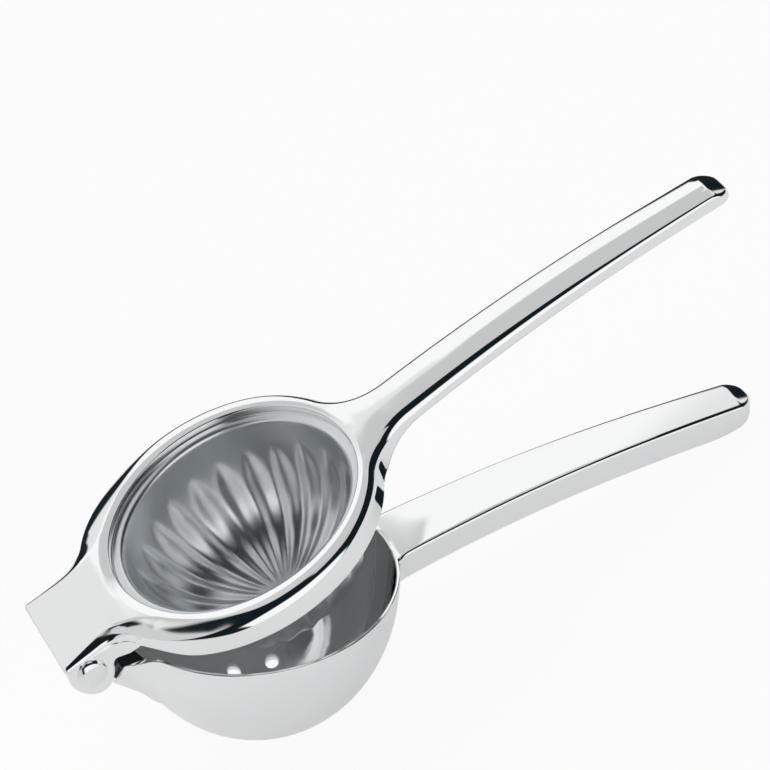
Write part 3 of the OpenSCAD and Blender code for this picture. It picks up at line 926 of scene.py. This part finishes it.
class Nodes:
    """A tree of shader nodes, with short ways to add and link them."""

    def __init__(self, tree):
        self.tree = tree

    def add(self, kind, **values):
        """A node with the given inputs or settings."""
        node = self.tree.nodes.new("ShaderNode" + kind)
        for key, value in values.items():
            if key in node.inputs:
                node.inputs[key].default_value = value
            else:
                setattr(node, key, value)
        return node

    def feed(self, socket, source):
        """Links a socket to a source, or sets it where the source is a plain value."""
        if isinstance(source, (int, float, tuple)):
            socket.default_value = source
        else:
            self.tree.links.new(source, socket)

    def result(self, node, *sources):
        """A node's first output, once its inputs are fed in their order."""
        for socket, source in zip(node.inputs, sources):
            self.feed(socket, source)
        return node.outputs[0]

    def math(self, operation, *sources):
        """The result of a Math node."""
        return self.result(self.add("Math", operation=operation), *sources)

    def times(self, *values):
        """The product of two values or more."""
        product = values[0]
        for value in values[1:]:
            product = self.math("MULTIPLY", product, value)
        return product

    def dot(self, vector, direction):
        """How far a vector reaches along a fixed direction."""
        node = self.add("VectorMath", operation="DOT_PRODUCT")
        self.result(node, vector, tuple(direction))
        return node.outputs["Value"]

    def noise(self, vector, scale, detail, roughness):
        """Soft noise between 0 and 1."""
        return self.result(self.add("TexNoise", Scale=scale, Detail=detail, Roughness=roughness), vector)

    def span(self, value, low, high, to_low=0.0, to_high=1.0, kind="LINEAR"):
        """A value carried from low..high to another span, and held at its ends."""
        return self.result(self.add("MapRange", interpolation_type=kind), value, low, high, to_low, to_high)

    def blend(self, kind, share, a, b):
        """a where share is 0 and b where it is 1."""
        node = self.add("Mix", data_type=kind)
        for name, source in (("Factor", share), ("A", a), ("B", b)):
            self.feed(node.inputs[name], source)
        return node.outputs["Result"]

    def bump(self, height, distance, shader):
        """Relief of the given depth in metres."""
        node = self.add("Bump", Strength=1.0, Distance=distance)
        self.feed(node.inputs["Height"], height)
        self.feed(shader.inputs["Normal"], node.outputs["Normal"])

    def cover(self, socket, value, share):
        """Another value for a shader's socket where share is 1, over what it has already."""
        kind = "RGBA" if socket.type == "RGBA" else "FLOAT"
        before = tuple(socket.default_value) if kind == "RGBA" else socket.default_value
        if socket.links:
            before = socket.links[0].from_socket
        self.feed(socket, self.blend(kind, share, before, value))


def fresh_nodes(owner):
    """The nodes of a material or world, cleared."""
    owner.use_nodes = True
    owner.node_tree.nodes.clear()
    return Nodes(owner.node_tree)


def finish_of(material):
    """A metal's nodes, its shader and its object coordinates."""
    nodes = Nodes(material.node_tree)
    return nodes, material.node_tree.nodes["Principled BSDF"], nodes.add("TexCoord").outputs["Object"]


def metal(name):
    """A metal material, with its nodes, its shader and its object coordinates."""
    material = bpy.data.materials.new(name)
    material.use_nodes = True
    nodes, shader, place = finish_of(material)
    shader.inputs["Metallic"].default_value = 1.0
    return material, nodes, shader, place


def polished(name, colour, rough, wave):
    """Polished casting: a clear mirror with faint polishing waves and a few softer patches."""
    material, nodes, shader, place = metal(name)
    shader.inputs["Base Color"].default_value = (*colour, 1)
    patches = nodes.noise(place, 38.0, 3.0, 0.55)
    nodes.feed(shader.inputs["Roughness"], nodes.span(patches, 0.35, 0.75, rough, rough * 1.7))
    nodes.bump(nodes.noise(place, 70.0, 1.0, 0.4), wave, shader)
    return material


def pressed(name):
    """Pressed steel: satin, blue-grey, with fine marks from drawing it down."""
    material, nodes, shader, place = metal(name)
    cloud = nodes.noise(place, 60.0, 4.0, 0.6)
    tint = nodes.blend("RGBA", cloud, (0.84, 0.87, 0.89, 1.0), (0.90, 0.92, 0.935, 1.0))
    nodes.feed(shader.inputs["Base Color"], tint)
    stretch = nodes.add("Mapping", Scale=(900, 900, 120))
    nodes.feed(stretch.inputs["Vector"], place)
    marks = nodes.noise(stretch.outputs["Vector"], 1.0, 2.0, 0.5)
    nodes.feed(shader.inputs["Roughness"], nodes.span(marks, 0.0, 1.0, 0.25, 0.36))
    nodes.bump(marks, 0.000006, shader)
    return material


def satin_inside(material):
    """Makes the hinge's side of the bowl's inside satin, within an ellipsoid between its faces."""
    nodes, shader, place = finish_of(material)
    local = nodes.add("Mapping", vector_type="TEXTURE", Scale=(0.037, 0.037, 0.0432),
                      Location=(-FOOT_X / 1000, 0, LIE_HEIGHT / 1000),
                      Rotation=(0, math.radians(LIE_TILT), 0))
    nodes.feed(local.inputs["Vector"], place)
    length = nodes.add("VectorMath", operation="LENGTH")
    nodes.feed(length.inputs[0], local.outputs["Vector"])
    inside = nodes.span(length.outputs["Value"], 1.003, 0.995)
    hinge_side = nodes.span(nodes.dot(local.outputs["Vector"], (1, 0, 0)), 0.45, 0.05)
    satin = nodes.times(inside, hinge_side)
    nodes.cover(shader.inputs["Roughness"], 0.5, satin)
    nodes.cover(shader.inputs["Metallic"], 0.15, satin)


def painted_gap_shade(material):
    """Paints shade into the casting on the bowl's side of the rivet, in the gap under the ring: a near-black
    colour, with a rough finish that is not metal.

    In millimetres from the rivet's axis, it runs from near to far, and fades further on between the neck's
    faces.
    """
    nodes, shader, place = finish_of(material)
    near, far, fade_from, fade_to = 3.4, 10.5, 17, 30
    pin = lower_place(np.zeros(3))
    offset = nodes.result(nodes.add("VectorMath", operation="SUBTRACT"), place, tuple(pin))
    x, y, z = (nodes.dot(offset, (lower_place(axis) - pin) * 1e6) for axis in np.eye(3))
    r = nodes.math("SQRT", nodes.math("ADD", nodes.times(x, x), nodes.times(z, z)))
    disc = nodes.times(nodes.span(r, far + 0.1, far), nodes.span(z, -8.5, -8.3))
    between_faces = nodes.span(nodes.math("ABSOLUTE", y), 11.7, 11.5)
    strip = nodes.times(nodes.span(r, fade_to, fade_from), nodes.span(z, -5.6, -5.3), between_faces)
    ahead = nodes.times(nodes.math("MAXIMUM", disc, strip), nodes.span(x, 3, 4.5))
    band = nodes.times(nodes.span(r, near, near + 0.3), ahead)
    # Painted shade: the band takes a near-black colour where the gap under the ring lies in shade
    nodes.cover(shader.inputs["Roughness"], 0.6, band)
    nodes.cover(shader.inputs["Metallic"], 0.0, band)
    nodes.cover(shader.inputs["Base Color"], (0.004, 0.008, 0.011, 1.0), band)


casting, bowl_casting, knuckle_casting = (
    polished(name, (0.93, 0.935, 0.94), 0.045, 0.000004)
    for name in ("polished_casting", "bowl_casting", "knuckle_casting"))
satin_inside(bowl_casting)
# Painted shade in the gap under the ring, on the bowl and on the knuckle
painted_gap_shade(bowl_casting)
painted_gap_shade(knuckle_casting)
rivet_steel = polished("rivet", (0.90, 0.905, 0.91), 0.07, 0.000003)
sheet_steel = pressed("pressed_steel")


# Pieces: name, shape, place, finish, body, CAD node that it replaces, and material slot
arms = "polished_casting"
PIECES = [
    ("upper_arm_body", upper_body_grids(), upper_place, casting, "upper_arm", "upper_arm", arms),
    ("near_ear", [ear_grids() * [1, -1, 1]], upper_place, casting, "upper_arm", None, arms),
    ("far_ear", [ear_grids()], upper_place, casting, "upper_arm", None, arms),
    ("bowl_and_neck", bowl_grids(), lower_place, bowl_casting, "lower_arm", "lower_arm", arms),
    ("knuckle", knuckle_grids(), lower_place, knuckle_casting, "lower_arm", None, arms),
    ("lower_handle", lower_handle_grids(), lower_place, casting, "lower_arm", None, arms),
    ("press_cup_sheet", cup_grids(), upper_place, sheet_steel, "upper_arm", "press_cup", "pressed_steel"),
    ("rivet_hollow_half", sleeve_grids(), upper_place, rivet_steel, "upper_arm", "rivet_sleeve", "rivet"),
    ("rivet_solid_half", pin_grids(), upper_place, rivet_steel, "upper_arm", "rivet_pin", "rivet"),
]
for name, grids, place, finish, body, node, slot in PIECES:
    piece = mesh_piece(name, grids, place, finish)
    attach(piece, body)
    if node:
        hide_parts(node)


# Camera: its place and directions in the lower arm's frame, and its focal length in widths of the picture

CAMERA_AT = np.array([-185.33, -695.30, 572.64])
CAMERA_FORWARD = np.array([0.304, 0.7604, -0.5739])
CAMERA_RIGHT = np.array([0.9085, -0.4127, -0.0657])
SENSOR_W = 36.0
FOCAL_PX = 3537
FRAME_PX = 770

at = lower_place(CAMERA_AT)
forward = turn(CAMERA_FORWARD, -LIE_TILT)
forward /= np.linalg.norm(forward)
right = turn(CAMERA_RIGHT, -LIE_TILT)
right -= forward * (right @ forward)
right /= np.linalg.norm(right)
up = np.cross(right, forward)
lens = bpy.data.cameras.new("camera")
lens.sensor_fit = "HORIZONTAL"
lens.sensor_width = SENSOR_W
lens.lens = SENSOR_W * FOCAL_PX / FRAME_PX
lens.clip_start = 0.05
lens.clip_end = 20.0
camera = put("camera", lens)
camera.matrix_world = Matrix([*np.column_stack([right, up, -forward, at]).tolist(), (0, 0, 0, 1)])
bpy.context.scene.camera = camera
bpy.context.scene.view_settings.view_transform = "Standard"


# Floor and studio

def floor_paper():
    """White paper that takes the shadow; the camera sees it white, and polished metal less bright."""
    paper = bpy.data.materials.new("floor_paper")
    nodes = fresh_nodes(paper)
    path = nodes.add("LightPath").outputs
    in_metal = nodes.times(path["Is Glossy Ray"], 0.4)
    seen = nodes.math("MAXIMUM", nodes.math("MAXIMUM", path["Is Camera Ray"], in_metal),
                      path["Is Transmission Ray"])
    matt = nodes.add("BsdfDiffuse", Color=(0.92, 0.92, 0.92, 1))
    glow = nodes.add("Emission", Color=(1, 1, 1, 1))
    mixed = nodes.result(nodes.add("MixShader"), nodes.times(seen, 0.92), matt.outputs[0], glow.outputs[0])
    nodes.feed(nodes.add("OutputMaterial").inputs[0], mixed)
    return paper


def floor():
    """A round sheet of paper, a metre in radius, under the middle of the squeezer."""
    mesh = bpy.data.meshes.new("floor")
    rim = [0.06, 0] + rays(np.linspace(0, 360, 65)[:-1])
    mesh.from_pydata(np.column_stack([rim, np.zeros(len(rim))]).tolist(), [], [list(range(len(rim)))])
    mesh.materials.append(floor_paper())
    put("floor", mesh)


def shown(tone):
    """Light whose picture has that tone between 0 and 1 once it is mirrored by the polished casting."""
    return (tone / 12.92 if tone < 0.04 else ((tone + 0.055) / 1.055) ** 2.4) / 0.935


# Zones of the studio, each laid over the ones before it. A direction is read as two angles from overhead, in
# degrees: X to the camera's right and Y ahead of it. A zone has its tone, the borders (a, b, c, softness)
# that it lies beyond, where a*X + b*Y > c, and perhaps the borders of a part that it leaves out.
DARK = 0.07
ZONES = [
    # Cloth overhead, and the light at its left
    (0.75, [(0, 1, -5, 4), (1, 0.4, 9.5, 2)]),
    (0.77, [(0.5, 1, 29.5, 2)]),
    (0.80, [(-1, 0.13, 20.9, 2)], [(0, -1, 6, 6), (1, 0, -45, 6)]),
    (0.89, [(-1, 0, 12.5, 3), (0, 1, 34, 4)]),
    # White wall ahead, greyer to the right
    (0.89, [(0, 1, 47.2, 1.5), (-1, 0, 7, 3)]),
    (0.975, [(-0.25, 1, 50.4, 1.5), (1, 0, -8.5, 1)]),
    (0.975, [(0, 1, 50.3, 1.5), (1, 0, -13, 3)]),
    (0.965, [(1, 0, 10.5, 0.6), (0, 1, 41.5, 3)]),
    (0.89, [(1, 0, 29, 6), (0, 1, 30, 3)]),
    # Dark gap at the right of the cloth and the wall, and along the wall's foot
    (DARK, [(1, 0, 34.5, 2), (0, -1, -50, 3)]),
    (DARK, [(1, 0, 36, 3), (0, 1, 55, 3)]),
    (0.10, [(-0.05, 1, 64.5, 2)]),
    # White wall behind the camera
    (0.97, [(1, 0, -25, 4), (0, -1, 44, 8), (-1, 0, -76, 8)]),
]


def studio():
    """World light by direction, dark where no zone lies; the camera itself sees plain white."""
    world = bpy.data.worlds.new("studio")
    bpy.context.scene.world = world
    nodes = fresh_nodes(world)
    ahead = np.array([forward[0], forward[1], 0]) / math.hypot(forward[0], forward[1])
    aside = np.array([ahead[1], -ahead[0], 0])
    where = nodes.add("TexCoord").outputs["Generated"]
    right_part, ahead_part, up_part = (nodes.dot(where, axis) for axis in (aside, ahead, (0, 0, 1)))
    tilt = nodes.times(nodes.math("ARCCOSINE", up_part), 180 / math.pi)
    level = nodes.math("SQRT", nodes.math("SUBTRACT", 1.0, nodes.math("POWER", up_part, 2.0)))
    level = nodes.math("MAXIMUM", level, 1e-4)
    x = nodes.math("DIVIDE", nodes.times(tilt, right_part), level)
    y = nodes.math("DIVIDE", nodes.times(tilt, ahead_part), level)

    def beyond_all(borders):
        """One where a direction lies beyond every border, with smooth steps."""
        shares = []
        for a, b, c, soft in borders:
            total = nodes.math("ADD", nodes.times(x, a), nodes.times(y, b))
            shares.append(nodes.span(total, c - soft / 2, c + soft / 2, kind="SMOOTHSTEP"))
        return nodes.times(*shares)

    light = shown(DARK)
    for tone, borders, *left_out in ZONES:
        mask = beyond_all(borders)
        for part in left_out:
            mask = nodes.times(mask, nodes.math("SUBTRACT", 1.0, beyond_all(part)))
        light = nodes.blend("FLOAT", mask, light, shown(tone))
    tint = nodes.blend("RGBA", light, (0.0, 0.006, 0.009, 1.0), (1.0, 1.0, 1.0, 1.0))
    zones = nodes.result(nodes.add("Background"), tint)
    plain = nodes.add("Background", Color=(1, 1, 1, 1)).outputs[0]
    to_camera = nodes.add("LightPath").outputs["Is Camera Ray"]
    mixed = nodes.result(nodes.add("MixShader"), to_camera, zones, plain)
    nodes.feed(nodes.add("OutputWorld").inputs[0], mixed)


def overhead_lamp():
    """A wide soft lamp for the floor and what isn't metal; mirrors don't show it."""
    data = bpy.data.lights.new("overhead", "AREA")
    data.shape = "DISK"
    data.size = 1.6
    data.energy = 6.0
    lamp = put("overhead", data)
    lamp.location = (0.05, 0.0, 1.2)
    lamp.visible_glossy = False
    lamp.visible_camera = False


floor()
overhead_lamp()
studio()
